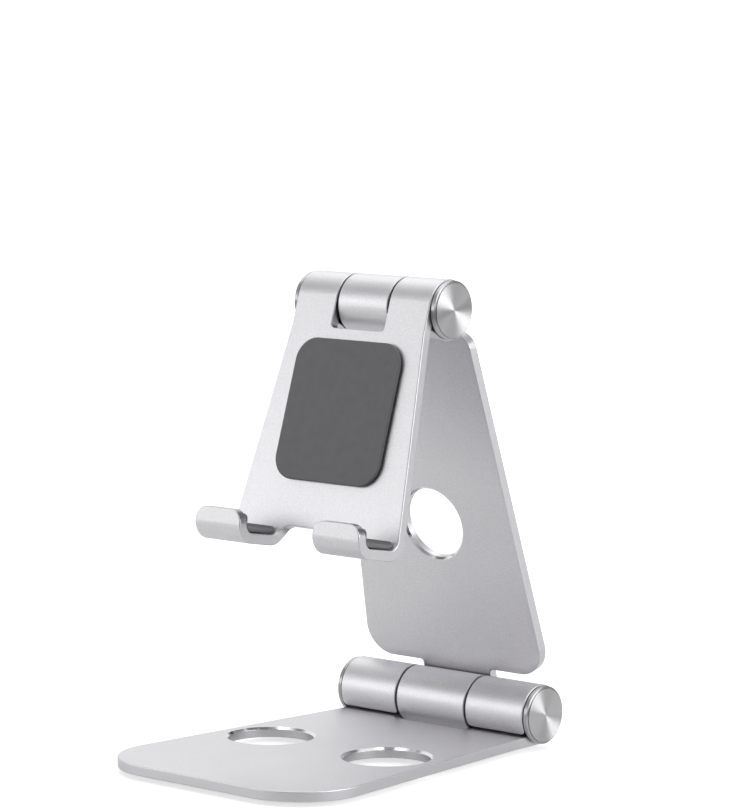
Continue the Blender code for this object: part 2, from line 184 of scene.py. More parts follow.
# %% The outline of a blank
OUTLINE_STEP = 0.35 * MM
CORNER_STEP = math.radians(6)


def cut_outline(corners):
    """Points and outward directions of a closed outline through (x, s, radius) corners, anticlockwise.

    A corner turns by the angle between its two sides. Its arc starts radius * tan(turn / 2) before it,
    and on the arc the outward direction is the heading turned right, so that a point is the centre plus
    or minus the radius in that direction. Straight sides are filled in at OUTLINE_STEP.
    """
    table = np.array(corners)
    spots, radii = table[:, :2], table[:, 2]
    ahead = np.roll(spots, -1, axis=0) - spots
    headings = np.arctan2(ahead[:, 1], ahead[:, 0])
    turns = (headings - np.roll(headings, 1) + math.pi) % (2 * math.pi) - math.pi
    setbacks = radii * np.tan(np.abs(turns) / 2)
    points, outward = [], []
    for i, (spot, radius, turn) in enumerate(zip(spots, radii, turns)):
        start = headings[i] - turn
        run_in = np.array([math.cos(start), math.sin(start)])
        left = np.array([-math.sin(start), math.cos(start)]) * math.copysign(radius, turn)
        centre = spot - run_in * setbacks[i] + left
        steps = math.ceil(max(abs(turn) / CORNER_STEP, radius * abs(turn) / OUTLINE_STEP, 1))
        heading = start + turn * np.linspace(0, 1, steps + 1)
        right = np.stack([np.sin(heading), -np.cos(heading)], axis=1)
        points.append(centre + right * math.copysign(radius, turn))
        outward.append(right)
        after = (i + 1) % len(spots)
        begin = points[-1][-1]
        way = np.array([math.cos(headings[i]), math.sin(headings[i])])
        length = np.linalg.norm(ahead[i]) - setbacks[i] - setbacks[after]
        count = math.ceil(length / OUTLINE_STEP)
        along = np.linspace(0, length, count + 1)[1:-1, None]
        points.append(begin + way * along)
        outward.append(np.tile(right[-1], (len(along), 1)))
    return np.concatenate(points), np.concatenate(outward)


def cut_hole(x, s, radius):
    """Round hole: points clockwise round its centre, whose outward direction leads into the hole."""
    count = math.ceil(2 * math.pi * radius / OUTLINE_STEP)
    angle = -np.linspace(0, 2 * math.pi, count, endpoint=False)
    ray = np.stack([np.cos(angle), np.sin(angle)], axis=1)
    return np.array([x, s]) + radius * ray, -ray


def mirrored(corners):
    """The same corners on the left, in the opposite order."""
    return [(-x, s, radius) for x, s, radius in reversed(corners)]


def both_sides(corners):
    """Right-hand corners from bottom to top, then their mirror image from top to bottom."""
    return corners + mirrored(corners)


# %% [markdown]
# ## The section of an edge
#
# An edge is a little profile carried round the outline, from the upper face to the lower one. Each of
# its points has three numbers: how far it lies inside the outline, its depth in the sheet, and the tilt
# of the surface, from 0 on the upper face to 180 degrees on the lower one. With the tilt known, every
# point gets its exact surface direction, and thin edges shine as they should without extra geometry.

# %% A round edge, and an edge made of straight cuts
EDGE_STEPS = 5


def round_section(thickness, radius):
    """Quarter circle, wall, quarter circle: inset = r (1 - sin tilt), depth = half - r (1 - cos tilt)."""
    tilt = np.linspace(0, math.pi / 2, EDGE_STEPS)
    inset = radius * (1 - np.sin(tilt))
    depth = thickness / 2 - radius * (1 - np.cos(tilt))
    upper = np.stack([inset, depth, tilt], axis=1)
    lower = np.stack([inset, -depth, math.pi - tilt], axis=1)[::-1]
    return np.concatenate([upper, lower])


def cut_section(stops, softness):
    """Straight cuts through (inset, depth) stops, joined by facets twice the softness wide.

    The tilt of a cut is atan2(-rise in depth, -rise in inset), which is 0 along the upper face.
    """
    stops = np.array(stops)
    runs = np.diff(stops, axis=0)
    lengths = np.linalg.norm(runs, axis=1, keepdims=True)
    ways = runs / lengths
    tilt = np.arctan2(-ways[:, 1], -ways[:, 0])
    begins = stops[:-1] + ways * softness
    ends = stops[1:] - ways * softness
    both = np.stack([begins, ends], axis=1).reshape(-1, 2)
    section = np.column_stack([both, np.repeat(tilt, 2)])
    return section[1:-1]


HOLE_CHAMFER = 0.6 * MM
HOLE_BREAK = 0.2 * MM
HOLE_SOFTNESS = 0.035 * MM
FACE_RUN = 0.3 * MM
hole_section = cut_section([
    (HOLE_CHAMFER + FACE_RUN, SHEET / 2),
    (HOLE_CHAMFER, SHEET / 2),
    (0, SHEET / 2 - HOLE_CHAMFER),
    (0, HOLE_BREAK - SHEET / 2),
    (HOLE_BREAK, -SHEET / 2),
    (HOLE_BREAK + FACE_RUN, -SHEET / 2),
], HOLE_SOFTNESS)
plate_section = round_section(SHEET, EDGE_ROUND)
print("points in the plates' edge:", len(plate_section), "and in a hole's edge:", len(hole_section))


# %% [markdown]
# ## Then bent
#
# Bending keeps x, carries s along the path of the sheet's middle, and measures depth straight out of
# it. The path is a list of moves, as a press operator would call them: a number is a straight run, and
# a pair is a bend with its radius and its angle. Bending with a modifier or an armature would only be
# close, while this is exact, and the same few lines roll every knuckle and form both hooks.

# %% Follow a path of straight runs and bends
def bend(path, s):
    """Place and heading on the path at the distances s, as arrays.

    Each move adds its share: a straight run adds length * (cos h, sin h), and a bend of radius R from
    heading h to h + a adds R / sign(a) * (sin(h + a) - sin h, cos h - cos(h + a)).
    """
    (y, z), heading, moves = path
    along_y = np.full(s.shape, float(y))
    along_z = np.full(s.shape, float(z))
    turned = np.full(s.shape, float(heading))
    done = 0.0
    for move in moves:
        if isinstance(move, tuple):
            radius, angle = move
            length = radius * abs(angle)
            swept = np.clip((s - done) / length, 0, 1) * angle
            signed = math.copysign(radius, angle)
            along_y += signed * (np.sin(heading + swept) - math.sin(heading))
            along_z += signed * (math.cos(heading) - np.cos(heading + swept))
            turned += swept
            heading += angle
        else:
            length = move
            run = np.clip(s - done, 0, length)
            along_y += run * math.cos(heading)
            along_z += run * math.sin(heading)
        done += length
    return along_y, along_z, turned


BEND_STEP = math.radians(3)
FLAT_STEP = 3.0 * MM


def rows_along(path):
    """Distances s at which the inside of a sheet gets a row of points, close together in the bends."""
    rows, done = [], 0.0
    for move in path[2]:
        if isinstance(move, tuple):
            length = move[0] * abs(move[1])
            count = math.ceil(abs(move[1]) / BEND_STEP)
        else:
            length = move
            count = math.ceil(move / FLAT_STEP)
        rows.append(done + length * np.arange(count) / count)
        done += length
    return np.concatenate(rows)


# %% [markdown]
# ## From blank to finished plate
#
# The inside of the blank is filled with a grid of points, kept a little off the edges, and a Delaunay
# triangulation joins them to the outline and the holes. It is the usual way to mesh a flat area with
# holes, because its triangles are as even as the points allow. The two faces and the edges between them
# are then bent together, so the piece is one closed skin.

# %% Which points are inside the blank
COLUMN_STEP = 1.5 * MM
EDGE_CLEAR = 0.30 * MM


def inside(points, loops):
    """True where a ray along +x crosses the loops an odd number of times."""
    odd = np.zeros(len(points), bool)
    px, ps = points[:, :1], points[:, 1:]
    for loop in loops:
        ax, a_s = loop.T
        bx, bs = np.roll(loop, -1, axis=0).T
        spans = (a_s > ps) != (bs > ps)
        reach = ax + (ps - a_s) / np.where(bs == a_s, 1, bs - a_s) * (bx - ax)
        odd ^= (spans & (reach > px)).sum(axis=1) % 2 == 1
    return odd


def fill_points(loops, path):
    """Grid of inner points, without those outside the blank or nearer an edge than EDGE_CLEAR."""
    edges = np.concatenate(loops)
    low, high = edges.min(axis=0), edges.max(axis=0)
    columns = np.linspace(low[0], high[0], math.ceil((high[0] - low[0]) / COLUMN_STEP) + 1)
    grid = np.stack(np.meshgrid(columns, rows_along(path)), axis=-1).reshape(-1, 2)
    grid = grid[inside(grid, loops)]
    gaps = np.linalg.norm(grid[:, None] - edges[None], axis=2).min(axis=1)
    return grid[gaps > EDGE_CLEAR]


def fill_faces(loops, inner):
    """Triangles between the loops' points and the inner points, numbered in that order."""
    points = np.concatenate([*loops, inner])
    counts = [len(loop) for loop in loops]
    starts = np.cumsum([0, *counts])
    rims = [start + np.arange(count) for start, count in zip(starts, counts)]
    edges = np.concatenate([np.stack([rim, np.roll(rim, -1)], axis=1) for rim in rims])
    made = geometry.delaunay_2d_cdt(points.tolist(), edges.tolist(), [], 0, 1e-9)
    faces = np.array(made[2])
    middle = points[faces].mean(axis=1)
    return faces[inside(middle, loops)]


# %% [markdown]
# ## From arrays to a mesh
#
# Every piece ends in the same few steps: its arrays go into a mesh, its exact surface directions are kept
# for smooth shading, and it is tied to the body that it moves with.

# %% Put arrays into a mesh object
def make_piece(name, points, directions, faces, body, replaced, values=None, uv=None):
    """Mesh object with exact surface directions, which rides on a body and stands for CAD nodes."""
    mesh = bpy.data.meshes.new(name)
    mesh.from_pydata(points.tolist(), [], faces)
    mesh.shade_smooth()
    for title, value in (values or {}).items():
        layer = mesh.attributes.new(title, "FLOAT", "POINT")
        layer.data.foreach_set("value", value.astype(np.float32))
    if uv is not None:
        layer = mesh.uv_layers.new(name="turning")
        layer.uv.foreach_set("vector", uv.astype(np.float32).ravel())
    mesh.normals_split_custom_set_from_vertices(directions.tolist())
    piece = bpy.data.objects.new(name, mesh)
    bpy.context.scene.collection.objects.link(piece)
    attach(piece, body)
    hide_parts(*replaced)
    print(f"{name}: {len(points)} points, {len(mesh.polygons)} faces")
    return piece


# %% [markdown]
# ## Bending a blank
#
# All the tools are ready now. The edge of each cut is swept round its outline, both faces are filled
# with triangles, and then every point is carried along the path. A hole's chamfer and an upright edge
# are marked in two attributes: the chamfer was cut with another tool and shines differently, and the
# upright edge is glossier and gets a painted darker shade.

# %% A blank becomes a bent piece
CHAMFER_TILT = math.pi / 4
WALL_TILT = math.pi / 2


def bent_piece(name, seat, path, thickness, cuts, replaced, across=0.0):
    """Closed skin of a bent sheet; cuts are (points, outward directions, edge section) loops.

    A ring of the edge is the outline moved inwards by the section's inset. Its surface direction is
    sin(tilt) times the outward direction plus cos(tilt) times the sheet's own upward direction. Two
    attributes mark the finish and a painted shade: machined is 1 on the holes' chamfers, and
    milled_and_shaded is 1 on upright walls, which the material makes glossier and paints darker as shade.
    """
    flat, depth, side, up, machined, milled_and_shaded, quads = [], [], [], [], [], [], []
    first_rims, last_rims, first_rings, last_rings = [], [], [], []
    total = 0
    for points, outward, section in cuts:
        inset, level, tilt = section.T
        rings = points[None] - inset[:, None, None] * outward[None]
        count = len(points)
        flat.append(rings.reshape(-1, 2))
        depth.append(np.repeat(level, count))
        side.append((np.sin(tilt)[:, None, None] * outward[None]).reshape(-1, 2))
        up.append(np.repeat(np.cos(tilt), count))
        cut_after = np.isclose(tilt, CHAMFER_TILT) & (section is hole_section)
        machined.append(np.repeat(cut_after.astype(float), count))
        milled_and_shaded.append(np.repeat(np.isclose(tilt, WALL_TILT).astype(float), count))
        grid = total + np.arange(rings.shape[0] * count).reshape(-1, count)
        beside = np.roll(grid, -1, axis=1)
        quads.append(np.stack([grid[:-1], grid[1:], beside[1:], beside[:-1]], axis=-1).reshape(-1, 4))
        first_rims.append(grid[0])
        last_rims.append(grid[-1])
        first_rings.append(rings[0])
        last_rings.append(rings[-1])
        total += grid.size
    inner = fill_points([points for points, _, _ in cuts], path)
    gap = min(np.linalg.norm(inner[:, None] - np.concatenate(first_rings)[None], axis=2).min(axis=1))
    triangles = []
    for rims, rings, sign in ((first_rims, first_rings, 1), (last_rims, last_rings, -1)):
        numbers = np.concatenate([*rims, total + np.arange(len(inner))])
        found = numbers[fill_faces(rings, inner)]
        triangles.append(found[:, ::sign])
        flat.append(inner)
        depth.append(np.full(len(inner), sign * thickness / 2))
        side.append(np.zeros_like(inner))
        up.append(np.full(len(inner), float(sign)))
        machined.append(np.zeros(len(inner)))
        milled_and_shaded.append(np.zeros(len(inner)))
        total += len(inner)
    flat, side = np.concatenate(flat), np.concatenate(side)
    depth, up = np.concatenate(depth), np.concatenate(up)
    y, z, heading = bend(path, flat[:, 1])
    left = np.stack([-np.sin(heading), np.cos(heading)], axis=1)
    along = np.stack([np.cos(heading), np.sin(heading)], axis=1)
    middle = np.stack([y, z], axis=1) + depth[:, None] * left
    points = np.column_stack([flat[:, 0] + across, middle])
    directions = np.column_stack([side[:, 0], side[:, 1:] * along + up[:, None] * left])
    faces = np.concatenate(quads).tolist() + np.concatenate(triangles).tolist()
    print(f"{name}: inner points stay {gap / MM:.2f} mm off the edges")
    return make_piece(
        name, stand_up(points, seat), stand_up(directions, seat, place=False), faces, seat, replaced,
        {"machined": np.concatenate(machined), "milled_and_shaded": np.concatenate(milled_and_shaded)})


# %% [markdown]
# ## The base
#
# The base is a tongue of sheet, 94.5 mm from the hinge to its front edge, a little wider in front, with
# two generous corners. Its rear edge carries the two outer knuckles of the lower hinge. The two round
# holes let the hooks drop through when the stand is folded flat. Their upper rims are cut bright after
# anodising, so each hole has a polished ring with no grain.

# %% Base plate
BASE_DEPTH = 94.5 * MM
BASE_FRONT_WIDTH = 74.2 * MM
BASE_CORNER = 17.0 * MM
BASE_HOLE_RADIUS = 10.75 * MM
BASE_HOLE_SPACING = 38.4 * MM
BASE_HOLE_FORWARD = 46.6 * MM
SIDE_BLEND = 6.0 * MM                          # where the slanting side meets the knuckle
SIDES = (("left", -1), ("right", 1))

base_path = ((-BASE_DEPTH, -ROLL_RADIUS), 0.0, [BASE_DEPTH, (ROLL_RADIUS, ROLL_SWEEP)])
base_notch = BASE_DEPTH - notch_depth
base_end = BASE_DEPTH + roll_length
notch_half = LOWER_CENTRE / 2 + KNUCKLE_GAP
base_blank = both_sides([
    (BASE_FRONT_WIDTH / 2, 0, BASE_CORNER),
    (LOWER_LENGTH / 2, base_notch, SIDE_BLEND),
    (LOWER_LENGTH / 2, base_end, ROLL_CORNER),
    (notch_half, base_end, ROLL_CORNER),
    (notch_half, base_notch, NOTCH_FILLET),
])
base_cuts = [(*cut_outline(base_blank), plate_section)]
for side, sign in SIDES:
    rim = cut_hole(sign * BASE_HOLE_SPACING / 2, BASE_DEPTH - BASE_HOLE_FORWARD, BASE_HOLE_RADIUS)
    base_cuts.append((*rim, hole_section))
base = bent_piece("base_sheet", "base", base_path, SHEET, base_cuts, ["base_plate"])

# %% [markdown]
# ## The arm
#
# The arm has a centre knuckle at each end. Between them it is one flat face that tapers upwards, with
# round shoulders beside the knuckles and a single bright-cut hole for the charging cable.

# %% Arm plate
ARM_LOWER_WIDTH = 58.8 * MM
ARM_UPPER_WIDTH = 43.0 * MM
ARM_LOWER_CORNER = 7.5 * MM
ARM_UPPER_CORNER = 5.0 * MM
SHOULDER = 7.7 * MM
ARM_HOLE_RADIUS = 9.2 * MM
ARM_HOLE_HEIGHT = 46.5 * MM

roll_start = ROLL_RADIUS * np.array([math.cos(-ROLL_SWEEP), math.sin(-ROLL_SWEEP)])
roll = (ROLL_RADIUS, ROLL_SWEEP)
arm_path = (roll_start, math.pi / 2 - ROLL_SWEEP, [roll, arm_length, roll])
arm_blank = both_sides([
    (LOWER_CENTRE / 2, 0, ROLL_CORNER),
    (LOWER_CENTRE / 2, roll_length + SHOULDER, NOTCH_FILLET),
    (ARM_LOWER_WIDTH / 2, roll_length + SHOULDER, ARM_LOWER_CORNER),
    (ARM_UPPER_WIDTH / 2, roll_length + arm_length - SHOULDER, ARM_UPPER_CORNER),
    (UPPER_CENTRE / 2, roll_length + arm_length - SHOULDER, NOTCH_FILLET),
    (UPPER_CENTRE / 2, 2 * roll_length + arm_length, ROLL_CORNER),
])
arm_cuts = [
    (*cut_outline(arm_blank), plate_section),
    (*cut_hole(0, roll_length + ARM_HOLE_HEIGHT, ARM_HOLE_RADIUS), hole_section),
]
arm = bent_piece("arm_sheet", "arm", arm_path, SHEET, arm_cuts, ["arm_plate"])

# %% [markdown]
# ## The holder panel
#
# The panel hangs from the upper hinge by two outer knuckles. At its foot a wide slot with round corners
# leaves two prongs, and each prong is bent forwards into a shelf and up into a short lip, so that it
# hooks round the lower edge of a tablet.

# %% Panel plate with its two hooks
PANEL_RUN = 59.2 * MM
PANEL_HOOK_WIDTH = 53.7 * MM
HOOK_WIDTH = 15.1 * MM
HOOK_BEND = 2.4 * MM
SHELF_BEND = math.radians(82)
SHELF_RUN = 7.2 * MM
LIP_BEND = math.radians(86)
LIP_RUN = 3.4 * MM
LIP_CORNER = 3.5 * MM
PRONG_NOTCH = 0.8 * MM
PRONG_FILLET = 3.7 * MM


def hook_moves(offset, lip):
    """Moves round the hook on a line at an offset from the sheet's middle, towards the tablet."""
    radius = HOOK_BEND + SHEET / 2 - offset
    return [(radius, -SHELF_BEND), SHELF_RUN, (radius, -LIP_BEND), lip]


roll_end = math.pi - ROLL_SWEEP
panel_start = ROLL_RADIUS * np.array([math.cos(roll_end), math.sin(roll_end)])
panel_path = (panel_start, roll_end + math.pi / 2, [roll, PANEL_RUN, *hook_moves(0, LIP_RUN)])
hook_radius = HOOK_BEND + SHEET / 2
hook_length = hook_radius * (SHELF_BEND + LIP_BEND) + SHELF_RUN + LIP_RUN
panel_notch = roll_length + notch_depth
panel_foot = roll_length + PANEL_RUN
panel_end = panel_foot + hook_length
hook_outer = PANEL_HOOK_WIDTH / 2
hook_inner = hook_outer - HOOK_WIDTH
knuckle_inner = UPPER_CENTRE / 2 + KNUCKLE_GAP
panel_half = [
    (UPPER_LENGTH / 2, 0, ROLL_CORNER),
    (UPPER_LENGTH / 2, roll_length + SHOULDER, SIDE_BLEND),
    (hook_outer, panel_foot, SIDE_BLEND),
    (hook_outer, panel_end, LIP_CORNER),
    (hook_inner, panel_end, LIP_CORNER),
    (hook_inner, panel_foot - PRONG_NOTCH, PRONG_FILLET),
]
panel_knuckle = [(knuckle_inner, panel_notch, NOTCH_FILLET), (knuckle_inner, 0, ROLL_CORNER)]
panel_blank = both_sides(panel_half) + mirrored(panel_knuckle) + panel_knuckle
panel_cuts = [(*cut_outline(panel_blank), plate_section)]
panel = bent_piece("panel_sheet", "panel", panel_path, SHEET, panel_cuts, ["panel_plate"])

# %% [markdown]
# ## Silicone pads
#
# A tablet must not touch bare metal. The panel has one pad in the middle of its face, and each hook has
# a strip that follows its bends. They are moulded in silicone, so their edges are rounder than the
# metal's. A pad is a thin sheet as well, and the same bending makes it.

# %% Pads on the panel and in the hooks
PAD = 1.2 * MM
SEAT_GAP = 0.3 * MM
PAD_ROUND = 0.4 * MM
PANEL_PAD_WIDTH = 34.0 * MM
PANEL_PAD_HEIGHT = 36.0 * MM
PANEL_PAD_TOP = 11.0 * MM
PANEL_PAD_CORNER = 6.0 * MM
HOOK_PAD_MARGIN = 0.8 * MM
HOOK_PAD_SETBACK = 1.0 * MM
HOOK_PAD_CORNER = 1.2 * MM


def rectangle(width, length, corner):
    """Corners (x, s, radius) of an oblong: half the width to either side, and s from 0 to the length."""
    return both_sides([(width / 2, 0, corner), (width / 2, length, corner)])


pad_thickness = PAD - SEAT_GAP
pad_section = round_section(pad_thickness, PAD_ROUND)
pad_offset = SHEET / 2 + SEAT_GAP + pad_thickness / 2
pad_line = -ROLL_RADIUS - pad_offset
face_path = ((pad_line, -PANEL_PAD_TOP), -math.pi / 2, [PANEL_PAD_HEIGHT])
face_cuts = [(*cut_outline(rectangle(PANEL_PAD_WIDTH, PANEL_PAD_HEIGHT, PANEL_PAD_CORNER)), pad_section)]
pads = [bent_piece("face_pad", "panel", face_path, pad_thickness, face_cuts, ["panel_pad"])]

moves = hook_moves(pad_offset, LIP_RUN - HOOK_PAD_SETBACK)
strip_length = sum(move[0] * abs(move[1]) if isinstance(move, tuple) else move for move in moves)
strip_path = ((pad_line, -PANEL_RUN), -math.pi / 2, moves)
strip_width = HOOK_WIDTH - 2 * HOOK_PAD_MARGIN
strip_cuts = [(*cut_outline(rectangle(strip_width, strip_length, HOOK_PAD_CORNER)), pad_section)]
for side, sign in SIDES:
    strip = bent_piece(
        "hook_liner_" + side, "panel", strip_path, pad_thickness, strip_cuts, ["hook_pad_" + side],
        across=sign * (PANEL_HOOK_WIDTH - HOOK_WIDTH) / 2)
    pads.append(strip)

# %% [markdown]
# ## Turned pieces
#
# The end caps, the shafts, the bushes, the sleeves and the springs were all made on a lathe, and the
# feet in a round mould. Such a shape is a profile swept round a line. Its corners are eased by small
# arcs, because a perfectly sharp corner never catches light. The profile's length and the angle round
# it are kept as the piece's own UV map, which tells the material the direction of the tool marks.

# %% Sweep a profile round the hinge line or round the vertical
TURN_STEPS = 96
EASE_STEPS = 4
POLE_RADIUS = 0.02 * MM


def eased_profile(stops, ease, closed):
    """Points and outward directions of a (radius, height) profile with its corners eased.

    At each corner an arc of radius `ease` turns from one side's direction to the next, and the outward
    direction is the heading turned left.
    """
    stops = np.array(stops)
    count = len(stops)
    ahead = np.roll(stops, -1, axis=0) - stops
    headings = np.arctan2(ahead[:, 1], ahead[:, 0])
    points, outward = [], []
    for i, stop in enumerate(stops):
        if not closed and i in (0, count - 1):
            heading = np.array([headings[min(i, count - 2)]])
            spot = stop[None]
        else:
            turn = (headings[i] - headings[i - 1] + math.pi) % (2 * math.pi) - math.pi
            start = headings[i - 1]
            heading = start + turn * np.linspace(0, 1, EASE_STEPS)
            run_in = np.array([math.cos(start), math.sin(start)])
            inner = np.array([-math.sin(start), math.cos(start)]) * math.copysign(ease, turn)
            centre = stop - run_in * ease * math.tan(abs(turn) / 2) + inner
            right = np.stack([np.sin(heading), -np.cos(heading)], axis=1)
            spot = centre + right * math.copysign(ease, turn)
        points.append(spot)
        outward.append(np.stack([-np.sin(heading), np.cos(heading)], axis=1))
    return np.concatenate(points), np.concatenate(outward)


def turned_piece(name, seat, stops, ease, offset, replaced, facing=1, upright=False, body=None):
    """Surface of revolution: radius * (cos a, sin a) round the line, height along it from the offset.

    facing -1 points the profile's top the other way and runs the angle backwards, which keeps the faces
    pointing out. A profile that starts on the line is closed there by one small flat face at each end.
    """
    hollow = stops[0][0] > 0
    profile, outward = eased_profile(stops, ease, hollow)
    profile[:, 0] = np.maximum(profile[:, 0], POLE_RADIUS)
    angle = facing * np.linspace(0, 2 * math.pi, TURN_STEPS, endpoint=False)

    def swept(values):
        """Each (radius, place) goes to radius times (cos, sin) of every angle, and to its place along."""
        across = values[:, :1] * np.stack([np.cos(angle), np.sin(angle)])[:, None, :]
        along = np.broadcast_to(values[:, 1:] * facing, across.shape[1:])
        order = [across[0], across[1], along] if upright else [along, across[0], across[1]]
        return np.stack(order, axis=-1).reshape(-1, 3)

    points, directions = swept(profile) + np.array(offset), swept(outward)
    grid = np.arange(len(points)).reshape(-1, TURN_STEPS)
    line = profile
    if hollow:
        grid = np.concatenate([grid, grid[:1]])
        line = np.concatenate([profile, profile[:1]])
    beside = np.roll(grid, -1, axis=1)
    quads = np.stack([grid[:-1], grid[1:], beside[1:], beside[:-1]], axis=-1).reshape(-1, 4)
    runs = np.linalg.norm(np.diff(line, axis=0), axis=1)
    reach = np.concatenate([[0], np.cumsum(runs)]) / (2 * BARREL_RADIUS)
    share = np.arange(TURN_STEPS + 1) / TURN_STEPS
    row, column = np.meshgrid(np.arange(len(runs)), np.arange(TURN_STEPS), indexing="ij")
    corner_u = np.stack([reach[row], reach[row + 1], reach[row + 1], reach[row]], axis=-1)
    corner_v = np.stack([share[column], share[column], share[column + 1], share[column + 1]], axis=-1)
    uv = [np.stack([corner_u, corner_v], axis=-1).reshape(-1, 2)]
    faces = quads.tolist()
    if not hollow:
        faces += [grid[0].tolist(), grid[-1, ::-1].tolist()]
        uv.append(np.column_stack([np.full(TURN_STEPS, reach[0]), share[:-1]]))
        uv.append(np.column_stack([np.full(TURN_STEPS, reach[-1]), share[:-1][::-1]]))
    return make_piece(
        name, stand_up(points, seat), stand_up(directions, seat, place=False), faces, body or seat,
        replaced, uv=np.concatenate(uv))


# %% [markdown]
# ## End caps
#
# Each hinge is closed at both ends by a cap with a plug that fits the bore. Its rim is a hair smaller
# than the barrel, so a dark line shows between the two. A step and a groove frame the face, which is
# faced off with a fine feed: the rings are too fine to see, but they spread the light into bright and
# dark sectors that meet in the middle.

# %% Four end caps
CAP_THICKNESS = 1.4 * MM
CAP_RIM_STEP = 0.3 * MM
CAP_CHAMFER = 0.4 * MM
CAP_SPIGOT = 2.4 * MM
CAP_EASE = 0.04 * MM
CAP_FACE_RADIUS = 6.75 * MM
CAP_GROOVE_WIDTH = 0.22 * MM
CAP_GROOVE_DEPTH = 0.4 * MM
CAP_SHOULDER = 0.15 * MM                       # the rim stands back from the face by this much
cap_radius = BARREL_RADIUS - CAP_RIM_STEP
plug_radius = BORE_RADIUS - SEAT_GAP
cap_stops = [
    (0, 0),
    (CAP_FACE_RADIUS, 0),
    (CAP_FACE_RADIUS, -CAP_GROOVE_DEPTH),
    (CAP_FACE_RADIUS + CAP_GROOVE_WIDTH, -CAP_GROOVE_DEPTH),
    (CAP_FACE_RADIUS + CAP_GROOVE_WIDTH, -CAP_SHOULDER),
    (cap_radius, -CAP_CHAMFER),
    (cap_radius, -CAP_THICKNESS),
    (plug_radius, -CAP_THICKNESS),
    (plug_radius, -CAP_THICKNESS - SEAT_GAP - CAP_SPIGOT),
    (0, -CAP_THICKNESS - SEAT_GAP - CAP_SPIGOT),
]
hinges = {
    "lower": ("base", LOWER_LENGTH, LOWER_CENTRE),
    "upper": ("panel", UPPER_LENGTH, UPPER_CENTRE),
}
caps = []
for prefix, (seat, length, centre) in hinges.items():
    for side, sign in SIDES:
        face = (sign * (length / 2 + SEAT_GAP + CAP_THICKNESS), 0, 0)
        node = f"{prefix}_cap_{side}"
        caps.append(turned_piece(node + "_turned", seat, cap_stops, CAP_EASE, face, [node], facing=sign))

# %% [markdown]
# ## Feet
#
# Four silicone discs keep the base off the table. They are moulded with a round lower edge, and they
# are stuck on under the corners.

# %% Four feet
FOOT_HEIGHT = 1.2 * MM
FOOT_RADIUS = 5.0 * MM
FOOT_EASE = 0.25 * MM
foot_top = FOOT_HEIGHT - SEAT_GAP
foot_stops = [(0, foot_top), (FOOT_RADIUS, foot_top), (FOOT_RADIUS, 0), (0, 0)]
feet = []
for row in ("front", "rear"):
    for side, sign in SIDES:
        node = f"foot_{row}_{side}"
        low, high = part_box(node)
        middle = (np.array(low) + np.array(high)) / 2 - lower_axis
        spot = (middle[0], middle[1], low.z - lower_axis[2])
        feet.append(turned_piece(
            node + "_moulded", "base", foot_stops, FOOT_EASE, spot, [node], upright=True))

# %% [markdown]
# ## Inside the hinges
#
# A hinge that holds a tablet at any angle needs friction. In each, a steel shaft runs through a bronze
# sleeve in the centre knuckle and a bush in each outer one, and three disc springs press them together
# behind a lock nut. A thin washer keeps the knuckles from rubbing. All of it is closed in, apart from
# the edges of the washers, and it is made as carefully as the rest so that the stand can be opened up.

# %% Shafts, sleeves, bushes, springs and washers
SHAFT_RADIUS = 2.5 * MM
BUSH_EASE = 0.15 * MM
WASHER_EASE = 0.06 * MM
SPRING_COUNT = 3
SPRING_THICKNESS = 0.4 * MM


def ring_stops(inner, outer, length):
    """Corners (radius, place) of a ring's section: the two radii, half the length to either side."""
    half = length / 2
    return [(outer, half), (outer, -half), (inner, -half), (inner, half)]


def along_hinge(node):
    """Middle and length of a CAD node along the hinge, read from the frame."""
    low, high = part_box(node)
    return ((low.x + high.x) / 2, 0, 0), high.x - low.x


bore_fit = (SHAFT_RADIUS + SEAT_GAP, BORE_RADIUS - SEAT_GAP)
washer_fit = (SHAFT_RADIUS + SEAT_GAP, cap_radius)
shafts, bronzes, washers, springs = [], [], [], []
for prefix, (seat, _, _) in hinges.items():
    node = prefix + "_shaft"
    spot, length = along_hinge(node)
    rod = [(0, length / 2), (SHAFT_RADIUS, length / 2), (SHAFT_RADIUS, -length / 2), (0, -length / 2)]
    shafts.append(turned_piece(node + "_ground", seat, rod, BUSH_EASE, spot, [node]))
    node = prefix + "_friction_sleeve"
    spot, length = along_hinge(node)
    stops = ring_stops(*bore_fit, length)
    bronzes.append(turned_piece(node + "_pressed", seat, stops, BUSH_EASE, spot, [node], body="arm"))
    for side, _ in SIDES:
        node = f"{prefix}_bush_{side}"
        spot, length = along_hinge(node)
        stops = ring_stops(*bore_fit, length)
        bronzes.append(turned_piece(node + "_pressed", seat, stops, BUSH_EASE, spot, [node]))
        node = f"{prefix}_gasket_{side}"
        spot, length = along_hinge(node)
        stops = ring_stops(*washer_fit, length)
        washers.append(turned_piece(node + "_stamped", seat, stops, WASHER_EASE, spot, [node]))
    for number in range(1, SPRING_COUNT + 1):
        node = f"{prefix}_disc_spring_{number}"
        spot, length = along_hinge(node)
        inner, outer = bore_fit
        half = length / 2
        stops = [
            (outer, SPRING_THICKNESS - half),
            (outer, -half),
            (inner, half - SPRING_THICKNESS),
            (inner, half),
        ]
        springs.append(turned_piece(node + "_formed", seat, stops, WASHER_EASE, spot, [node]))

# %% [markdown]
# ## Colours and nodes
#
# Colours are picked as sRGB hex values, as a designer would read them off a chart, and one function
# turns them to the linear numbers that the renderer works with. Another small function adds a node with
# its settings and links, so that each material below reads as a list of what it is made of.

# %% Two helpers for materials
def linear(colour, alpha=1.0):
    """Linear RGBA of an sRGB hex colour: c / 12.92 below 0.04045, else ((c + 0.055) / 1.055) ** 2.4."""
    parts = np.array([int(colour[i:i + 2], 16) for i in (1, 3, 5)]) / 255
    mapped = np.where(parts <= 0.04045, parts / 12.92, ((parts + 0.055) / 1.055) ** 2.4)
    return (*mapped.tolist(), alpha)


